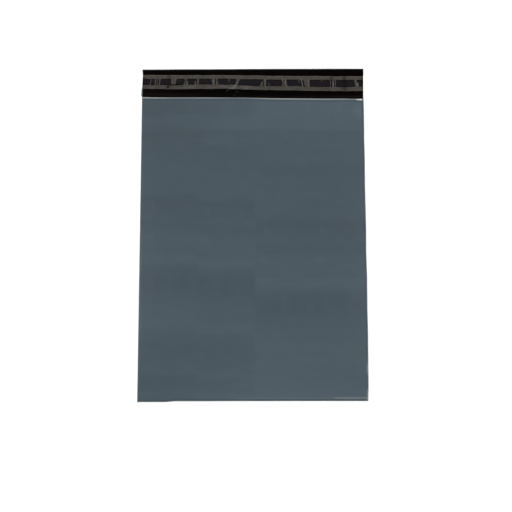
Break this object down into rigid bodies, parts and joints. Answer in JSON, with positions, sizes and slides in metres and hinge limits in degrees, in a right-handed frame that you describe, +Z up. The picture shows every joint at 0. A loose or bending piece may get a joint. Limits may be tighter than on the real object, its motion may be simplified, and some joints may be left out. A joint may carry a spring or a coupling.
{
  "type": "poly mailer bag",
  "caption": "Flat polyethylene mailing bag, folded at the bottom and welded along both sides, with an open mouth and a self-sealing lip under a release liner.",
  "frame": {"origin": "on the surface that the bag lies on, under the middle of its width and of its whole length with the lip", "axes": "+X across the bag to its right as seen from above, +Y from the bottom fold to the lip, +Z up out of the front panel"},
  "size_m": [0.3, 0.445, 0.0073],
  "materials": {
    "film": "satin co-extruded polyethylene film, grey outside and black inside",
    "adhesive": "smooth dark hot-melt adhesive",
    "liner": "hazy siliconised release film"
  },
  "bodies": {
    "root": {"film_bag": "film", "adhesive_strip": "adhesive", "release_liner": "liner"}
  },
  "joints": []
}
